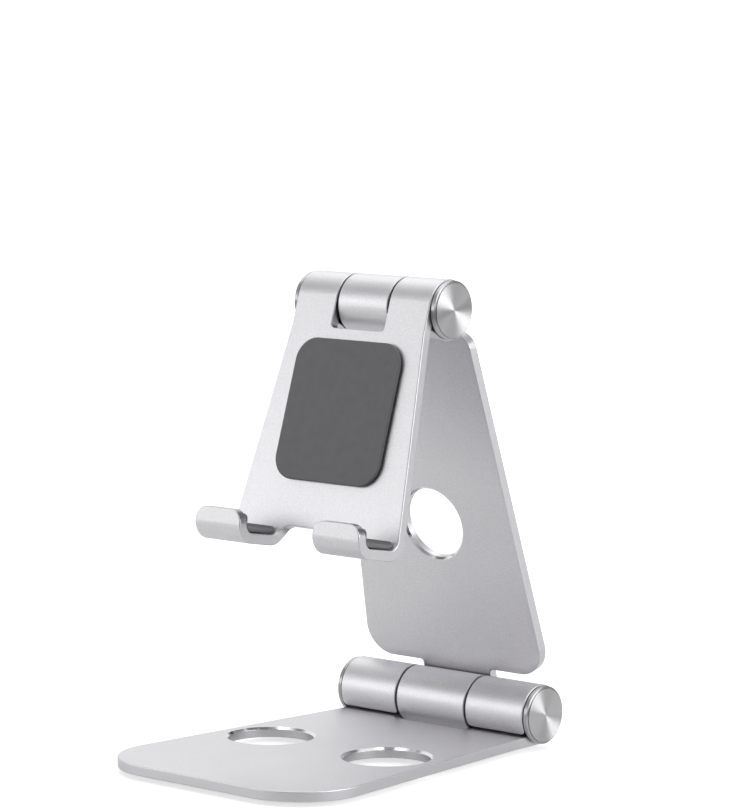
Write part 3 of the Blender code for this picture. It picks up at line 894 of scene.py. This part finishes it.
def add(tree, kind, inputs, **settings):
    """New node of the tree; inputs hold values, or the sockets that feed them."""
    node = tree.nodes.new("ShaderNode" + kind)
    for title, value in settings.items():
        setattr(node, title, value)
    for title, value in inputs.items():
        if isinstance(value, bpy.types.NodeSocket):
            tree.links.new(value, node.inputs[title])
        else:
            node.inputs[title].default_value = value
    return node


def new_material(name):
    """Material with an empty tree and its output node."""
    material = bpy.data.materials.new(name)
    material.use_nodes = True
    material.node_tree.nodes.clear()
    return material, material.node_tree


def finish_with(tree, shader):
    """Makes a shader the surface of the material."""
    add(tree, "OutputMaterial", {"Surface": shader.outputs["BSDF"]})


def paint(pieces, material):
    """Gives the pieces one material."""
    for piece in pieces:
        piece.data.materials.clear()
        piece.data.materials.append(material)
    print(f"{material.name}: {len(pieces)} pieces")


def grain_scale(size):
    """Scale of a noise texture in Object coordinates whose grains are `size` metres across."""
    return 1 / size


# %% [markdown]
# ## Bead-blasted, anodised aluminium
#
# The plates were blasted with fine glass beads and then anodised clear. Blasting dents the metal evenly
# with pits of a tenth of a millimetre or so, which gives a soft, silky gloss with no direction and a
# faint sparkle where the light grazes. The pits are drawn at 0.32 mm, coarser than the real ones, since
# finer ones would vanish in the render. Anodising clouds the tone a little over centimetres.
#
# The edges were milled before, and keep some of that finer surface, so they are glossier, which the
# attribute `milled_and_shaded` tells the material. The material also paints them a darker colour, a
# painted shade that stands for the dark reflections along the edges. The holes' rims were cut afterwards
# with a diamond tool: there the same metal is bare, bright and smooth, which the attribute `machined`
# tells.

# %% Material of the three plates
PIT_SIZE = 0.32 * MM
FINE_PIT_SIZE = 0.11 * MM
CLOUD_SIZE = 14.0 * MM
PIT_HEIGHT = 0.018 * MM
MILLED_ROUGHNESS = 0.30
DIAMOND_CUT_ROUGHNESS = 0.14


def blasted_aluminium():
    """Pits as bump, clouds as tone and gloss, with smoother walls in a painted darker shade and bare rims
    where they are marked.
    """
    material, tree = new_material("bead_blasted_anodised_aluminium")
    place = add(tree, "TexCoord", {}).outputs["Object"]
    pits = add(tree, "TexNoise", {"Vector": place, "Scale": grain_scale(PIT_SIZE), "Detail": 2.0})
    fine = add(tree, "TexNoise", {"Vector": place, "Scale": grain_scale(FINE_PIT_SIZE), "Detail": 1.0})
    cloud = add(tree, "TexNoise", {"Vector": place, "Scale": grain_scale(CLOUD_SIZE), "Detail": 3.0})
    cut = add(tree, "Attribute", {}, attribute_name="machined").outputs["Fac"]
    edge = add(tree, "Attribute", {}, attribute_name="milled_and_shaded").outputs["Fac"]
    uncut = add(tree, "Math", {0: 1.0, 1: cut}, operation="SUBTRACT").outputs[0]
    both = add(tree, "Math", {0: pits.outputs["Fac"], 1: fine.outputs["Fac"]}, operation="ADD")
    tone = add(tree, "MapRange", {"Value": cloud.outputs["Fac"], "From Min": 0.3, "From Max": 0.7})
    speck = add(tree, "MapRange", {
        "Value": both.outputs[0], "From Min": 0.75, "From Max": 1.25, "To Min": 0.0, "To Max": 1.0})
    shade = add(tree, "Mix", {
        "Factor": tone.outputs[0], "A": linear("#DCDBDE"), "B": linear("#E3E2E5")}, data_type="RGBA")
    dusted = add(tree, "Mix", {
        "Factor": speck.outputs[0], "A": linear("#CFCED1"), "B": shade.outputs["Result"]},
        data_type="RGBA")
    # Painted shade: upright walls are mixed to a darker colour, which stands in for the dark reflections
    # along the plates' edges.
    edge_shaded = add(tree, "Mix", {
        "Factor": edge, "A": dusted.outputs["Result"], "B": linear("#C9C9CC")}, data_type="RGBA")
    colour = add(tree, "Mix", {
        "Factor": cut, "A": edge_shaded.outputs["Result"], "B": linear("#F1F1F2")}, data_type="RGBA")
    satin = add(tree, "MapRange", {"Value": cloud.outputs["Fac"], "To Min": 0.43, "To Max": 0.50})
    smoother = add(tree, "MapRange", {
        "Value": edge, "To Min": satin.outputs[0], "To Max": MILLED_ROUGHNESS})
    rough = add(tree, "MapRange", {
        "Value": cut, "To Min": smoother.outputs[0], "To Max": DIAMOND_CUT_ROUGHNESS})
    bump = add(tree, "Bump", {
        "Height": both.outputs[0], "Strength": uncut, "Distance": PIT_HEIGHT})
    shader = add(tree, "BsdfPrincipled", {
        "Base Color": colour.outputs["Result"], "Metallic": 1.0, "Roughness": rough.outputs[0],
        "Normal": bump.outputs["Normal"]})
    finish_with(tree, shader)
    return material


paint([base, arm, panel], blasted_aluminium())

# %% [markdown]
# ## Faced aluminium
#
# The caps come straight off the lathe. The tool leaves rings as fine as its feed, under a tenth of a
# millimetre, and they scatter light only across themselves. Anisotropic gloss does this: its direction
# is the tangent of the UV map, which runs along the profile and so across the rings.

# %% Material of the end caps
RING_COUNT = 60                # rings from the middle of the cap to its rim


def faced_aluminium():
    """Rings along the profile as bump and tone, and a gloss stretched across them."""
    material, tree = new_material("lathe_faced_aluminium")
    turning = add(tree, "UVMap", {}, uv_map="turning").outputs["UV"]
    along = add(tree, "SeparateXYZ", {"Vector": turning}).outputs["X"]
    rings = add(tree, "Math", {0: along, 1: 2 * RING_COUNT * 2 * math.pi}, operation="MULTIPLY")
    wave = add(tree, "Math", {0: rings.outputs[0]}, operation="SINE")
    streaks = add(tree, "Mapping", {"Vector": turning, "Scale": (2 * RING_COUNT, 2.0, 1.0)})
    lines = add(tree, "TexNoise", {"Vector": streaks.outputs[0], "Scale": 3.0, "Detail": 2.0})
    rough = add(tree, "MapRange", {"Value": lines.outputs["Fac"], "To Min": 0.36, "To Max": 0.46})
    shade = add(tree, "Mix", {
        "Factor": lines.outputs["Fac"], "A": linear("#B4B4B6"), "B": linear("#D2D2D3")},
        data_type="RGBA")
    bump = add(tree, "Bump", {"Height": wave.outputs[0], "Strength": 0.25, "Distance": 0.004 * MM})
    tangent = add(tree, "Tangent", {}, direction_type="UV_MAP", uv_map="turning")
    shader = add(tree, "BsdfPrincipled", {
        "Base Color": shade.outputs["Result"], "Metallic": 1.0, "Roughness": rough.outputs[0],
        "Anisotropic": 0.95, "Normal": bump.outputs["Normal"], "Tangent": tangent.outputs[0]})
    finish_with(tree, shader)
    return material


paint(caps, faced_aluminium())

# %% [markdown]
# ## Silicone
#
# The pads and feet are moulded silicone, dark grey and dull, with the faint eggshell texture of a
# spark-eroded mould and a little dust.

# %% Material of the pads and feet
SPARK_SIZE = 0.35 * MM
DUST_SIZE = 2.5 * MM


def moulded_silicone():
    """Dull dark grey with a grained bump, and a thin dust that makes it paler and rougher in places."""
    material, tree = new_material("moulded_silicone")
    place = add(tree, "TexCoord", {}).outputs["Object"]
    spark = add(tree, "TexNoise", {"Vector": place, "Scale": grain_scale(SPARK_SIZE), "Detail": 2.0})
    dust = add(tree, "TexNoise", {"Vector": place, "Scale": grain_scale(DUST_SIZE), "Detail": 4.0})
    shade = add(tree, "Mix", {
        "Factor": dust.outputs["Fac"], "A": linear("#646466"), "B": linear("#747476")}, data_type="RGBA")
    rough = add(tree, "MapRange", {"Value": dust.outputs["Fac"], "To Min": 0.5, "To Max": 0.68})
    bump = add(tree, "Bump", {"Height": spark.outputs["Fac"], "Strength": 0.5, "Distance": 0.02 * MM})
    shader = add(tree, "BsdfPrincipled", {
        "Base Color": shade.outputs["Result"], "Roughness": rough.outputs[0], "IOR": 1.41,
        "Normal": bump.outputs["Normal"]})
    finish_with(tree, shader)
    return material


paint(pads + feet, moulded_silicone())

# %% [markdown]
# ## Ground steel, sintered bronze and nylon
#
# The shafts are ground, with fine marks round them. The bushes are sintered bronze, pressed from powder
# and soaked in oil, so they are full of small dark pores. The washers are black nylon.

# %% Materials inside the hinges
MARK_SIZE = 0.12 * MM
MARK_STRETCH = 8.0             # how much longer a mark is round the shaft than along it
PORE_SIZE = 0.2 * MM
HAZE_SIZE = 1.0 * MM


def ground_steel():
    """Bright grey whose noise is squeezed along the shaft, so that it runs round it as fine marks."""
    material, tree = new_material("ground_steel")
    place = add(tree, "TexCoord", {}).outputs["Object"]
    squeezed = add(tree, "Mapping", {"Vector": place, "Scale": (MARK_STRETCH, 1.0, 1.0)})
    marks = add(tree, "TexNoise", {
        "Vector": squeezed.outputs[0], "Scale": grain_scale(MARK_STRETCH * MARK_SIZE), "Detail": 3.0})
    rough = add(tree, "MapRange", {"Value": marks.outputs["Fac"], "To Min": 0.2, "To Max": 0.42})
    shade = add(tree, "Mix", {
        "Factor": marks.outputs["Fac"], "A": linear("#A5A6A8"), "B": linear("#C2C2C3")},
        data_type="RGBA")
    shader = add(tree, "BsdfPrincipled", {
        "Base Color": shade.outputs["Result"], "Metallic": 1.0, "Roughness": rough.outputs[0]})
    finish_with(tree, shader)
    return material


def sintered_bronze():
    """Yellow-brown, with a small dark pore sunk into the middle of each Voronoi cell."""
    material, tree = new_material("sintered_bronze")
    place = add(tree, "TexCoord", {}).outputs["Object"]
    grains = add(tree, "TexVoronoi", {"Vector": place, "Scale": grain_scale(PORE_SIZE)})
    pores = add(tree, "MapRange", {
        "Value": grains.outputs["Distance"], "From Min": 0.1, "From Max": 0.5})
    shade = add(tree, "Mix", {
        "Factor": pores.outputs[0], "A": linear("#6B4A2A"), "B": linear("#B98A55")}, data_type="RGBA")
    bump = add(tree, "Bump", {"Height": pores.outputs[0], "Strength": 0.5, "Distance": 0.02 * MM})
    shader = add(tree, "BsdfPrincipled", {
        "Base Color": shade.outputs["Result"], "Metallic": 1.0, "Roughness": 0.42,
        "Normal": bump.outputs["Normal"]})
    finish_with(tree, shader)
    return material


def black_nylon():
    """Nearly black, with a faint haze in its tone."""
    material, tree = new_material("black_nylon")
    place = add(tree, "TexCoord", {}).outputs["Object"]
    haze = add(tree, "TexNoise", {"Vector": place, "Scale": grain_scale(HAZE_SIZE), "Detail": 3.0})
    shade = add(tree, "Mix", {
        "Factor": haze.outputs["Fac"], "A": linear("#232325"), "B": linear("#39393B")}, data_type="RGBA")
    shader = add(tree, "BsdfPrincipled", {
        "Base Color": shade.outputs["Result"], "Roughness": 0.5, "IOR": 1.53})
    finish_with(tree, shader)
    return material


steel = ground_steel()
nuts = [frame["nodes"][prefix + "_lock_nut"] for prefix in hinges]
paint(shafts + springs + nuts, steel)
paint(bronzes, sintered_bronze())
paint(washers, black_nylon())
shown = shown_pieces()
print("pieces shown:", len(shown))
print("without a material:", [piece.name for piece in shown if not piece.data.materials])

# %% [markdown]
# ## The camera
#
# A long lens from the front right and just above the table, as in a catalogue picture: the barrel's end
# cap, the top of the base and the front of the arm all show, with hardly any perspective.

# %% Camera
AZIMUTH = math.radians(40.85)
ELEVATION = math.radians(6.44)
ROLL = math.radians(0.18)
DISTANCE = 0.9456
LENS = 163.05
SENSOR = 36.0
look_at = Vector((-0.0213, 0.0373, 0.0835))

camera_data = bpy.data.cameras.new("camera")
camera_data.lens = LENS
camera_data.sensor_width = SENSOR
camera_data.clip_start = 0.05
camera_data.clip_end = 20.0
camera = bpy.data.objects.new("camera", camera_data)
bpy.context.scene.collection.objects.link(camera)
back = Vector((math.sin(AZIMUTH) * math.cos(ELEVATION),
               -math.cos(AZIMUTH) * math.cos(ELEVATION),
               math.sin(ELEVATION)))
right = Vector((math.cos(AZIMUTH), math.sin(AZIMUTH), 0))
upward = back.cross(right)
turned_axes = Matrix((right, upward, back)).transposed()
camera.matrix_world = (
    Matrix.Translation(look_at + back * DISTANCE) @ turned_axes.to_4x4() @ Matrix.Rotation(ROLL, 4, "Z"))
bpy.context.scene.camera = camera
print("camera at", [round(value, 3) for value in camera.matrix_world.translation])

# %% [markdown]
# ## Floor
#
# The stand is on white paper. Metal shows what lies round it, and a plate's edge shows the paper in
# front of it, so the paper that the metal sees falls into shade towards the front right. What the camera
# sees straight on stays white everywhere, and it glows a little by itself, which keeps the shadow under
# the stand faint.

# %% White paper
FLOOR_SIZE = 16.0
FRONT_TURN = math.radians(41)          # the shade lies this way, turned from -Y towards +X
LIT_EDGE, SHADE_EDGE = 0.09, 0.20      # distances that way at which the shade starts and is full
SHADE_LIGHT = 0.2
NEAR_EDGE, FAR_EDGE = -0.15, -1.0      # the paper glows more towards the back
NEAR_GLOW, FAR_GLOW = 0.2, 0.5
CAMERA_GLOW = 0.4
HAZE_COUNT = 3.0                       # clouds of tone in a metre of paper

floor_data = bpy.data.meshes.new("floor")
corner = FLOOR_SIZE / 2
floor_data.from_pydata(
    [(-corner, -corner, 0), (corner, -corner, 0), (corner, corner, 0), (-corner, corner, 0)],
    [], [(0, 1, 2, 3)])
floor = bpy.data.objects.new("floor", floor_data)
bpy.context.scene.collection.objects.link(floor)
floor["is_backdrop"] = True
floor_material, floor_tree = new_material("white_seamless_paper")
paper_place = add(floor_tree, "TexCoord", {}).outputs["Object"]
paper_haze = add(floor_tree, "TexNoise", {"Vector": paper_place, "Scale": HAZE_COUNT, "Detail": 2.0})
paper = add(floor_tree, "Mix", {
    "Factor": paper_haze.outputs["Fac"], "A": linear("#CFCFCF"), "B": linear("#D3D3D3")},
    data_type="RGBA")
front = (math.sin(FRONT_TURN), -math.cos(FRONT_TURN), 0)
forward = add(floor_tree, "VectorMath", {0: paper_place, 1: front}, operation="DOT_PRODUCT")
fading = add(floor_tree, "MapRange", {
    "Value": forward.outputs["Value"], "From Min": LIT_EDGE, "From Max": SHADE_EDGE,
    "To Min": 1.0, "To Max": SHADE_LIGHT}, interpolation_type="SMOOTHSTEP")
direct = add(floor_tree, "LightPath", {}).outputs["Is Camera Ray"]
lit = add(floor_tree, "Math", {0: fading.outputs[0], 1: direct}, operation="MAXIMUM").outputs[0]
shaded = add(floor_tree, "Mix", {
    "Factor": lit, "A": linear("#000000"), "B": paper.outputs["Result"]}, data_type="RGBA")
own_glow = add(floor_tree, "MapRange", {
    "Value": forward.outputs["Value"], "From Min": FAR_EDGE, "From Max": NEAR_EDGE,
    "To Min": FAR_GLOW, "To Max": NEAR_GLOW}, interpolation_type="SMOOTHSTEP")
whole_glow = add(floor_tree, "Math", {
    0: direct, 1: CAMERA_GLOW, 2: own_glow.outputs[0]}, operation="MULTIPLY_ADD")
glow = add(floor_tree, "Math", {0: lit, 1: whole_glow.outputs[0]}, operation="MULTIPLY")
finish_with(floor_tree, add(floor_tree, "BsdfPrincipled", {
    "Base Color": shaded.outputs["Result"], "Roughness": 0.9, "Specular IOR Level": 0.1,
    "Emission Color": linear("#FFFFFF"), "Emission Strength": glow.outputs[0]}))
floor_data.materials.append(floor_material)
print(f"paper of {FLOOR_SIZE:.0f} m, in shade from {SHADE_EDGE * 100:.0f} cm in front")

# %% [markdown]
# ## Room
#
# The room is pale on all sides but three, where it is dark, as if black cards stood there. One card is
# front left and half-way up, and it draws the dark band along the barrels. The one behind makes the dark
# wedges of the caps. The widest stands in front, for the edges that face the viewer. Without them the
# metal would look like white plastic.

# %% Pale room with three dark sides
ROOM_LIGHT = 0.9
BACKGROUND_LIGHT = 1.0
CORE_SHARE = 0.35                      # part of a dark side's spread that is fully dark
DARK_SIDES = {                         # turn and lift of its middle, spread, light left in the middle
    "barrels": (-60, 40, 22, 0.2),
    "caps": (166, 24, 34, 0.02),
    "edges": (38, 14, 60, 0.03),
}
world = bpy.data.worlds.new("studio")
world.use_nodes = True
world.node_tree.nodes.clear()
sky = world.node_tree
toward = add(sky, "TexCoord", {}).outputs["Generated"]


def way_to(turn, lift):
    """Unit vector turned from the front (-Y) to the right (+X), and lifted, both in degrees."""
    turn, lift = math.radians(turn), math.radians(lift)
    return Vector((math.sin(turn) * math.cos(lift), -math.cos(turn) * math.cos(lift), math.sin(lift)))


def darker_side(before, turn, lift, spread, least):
    """Brightness times a soft dip round a direction: 1 at `spread` degrees from it, `least` inside."""
    nearness = add(sky, "VectorMath", {0: toward, 1: way_to(turn, lift)}, operation="DOT_PRODUCT")
    dip = add(sky, "MapRange", {
        "Value": nearness.outputs["Value"], "From Min": math.cos(math.radians(spread)),
        "From Max": math.cos(math.radians(spread * CORE_SHARE)), "To Min": 1.0, "To Max": least},
        interpolation_type="SMOOTHSTEP")
    return add(sky, "Math", {0: before, 1: dip.outputs[0]}, operation="MULTIPLY").outputs[0]


bright = ROOM_LIGHT
for side in DARK_SIDES.values():
    bright = darker_side(bright, *side)
seen = add(sky, "LightPath", {}).outputs["Is Camera Ray"]
level = add(sky, "Mix", {"Factor": seen, "A": bright, "B": BACKGROUND_LIGHT}, data_type="FLOAT")
room = add(sky, "Background", {"Color": linear("#FFFFFF"), "Strength": level.outputs["Result"]})
add(sky, "OutputWorld", {"Surface": room.outputs["Background"]})
bpy.context.scene.world = world
print("dark sides:", ", ".join(DARK_SIDES))

# %% [markdown]
# ## Panels of light
#
# Four large soft panels do the rest. The left one stands low and gives the barrels their long bright
# band, the right one gives the caps their bright wedges, the top one lights the paper, and the rear one
# brightens the tops of the knuckles and the base.

# %% Soft panels of light
def soft_panel(name, turn, lift, distance, width, height, power):
    """Area light in a direction from the stand, in degrees, turned to face it; sizes in metres."""
    light = bpy.data.lights.new(name, "AREA")
    light.shape = "RECTANGLE"
    light.size = width
    light.size_y = height
    light.energy = power
    lamp = bpy.data.objects.new(name, light)
    bpy.context.scene.collection.objects.link(lamp)
    way = way_to(turn, lift)
    lamp.location = look_at + way * distance
    lamp.rotation_mode = "QUATERNION"
    lamp.rotation_quaternion = way.to_track_quat("Z", "Y")
    print(f"{name}: {power} W")


soft_panel("left_panel", -43, 10, 1.2, 1.1, 0.34, 2.3)
soft_panel("top_panel", 0, 85, 1.3, 0.9, 0.9, 3.6)
soft_panel("rear_panel", -139, 48, 1.2, 0.9, 0.5, 1.5)
soft_panel("right_panel", 102, 17, 1.2, 1.0, 0.6, 7.5)
bpy.context.scene.view_settings.view_transform = "Standard"

# %% [markdown]
# ## Measure
#
# The finished pieces should fill the same box as the engineering model, so the sizes of both boxes are
# printed.

# %% Print both sizes
visual_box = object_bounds()
boxes = {"cad": [list(corner) for corner in cad_box], "visual": [list(corner) for corner in visual_box]}
for title, (low, high) in boxes.items():
    print(title, [round((b - a) / MM, 2) for a, b in zip(low, high)], "mm")
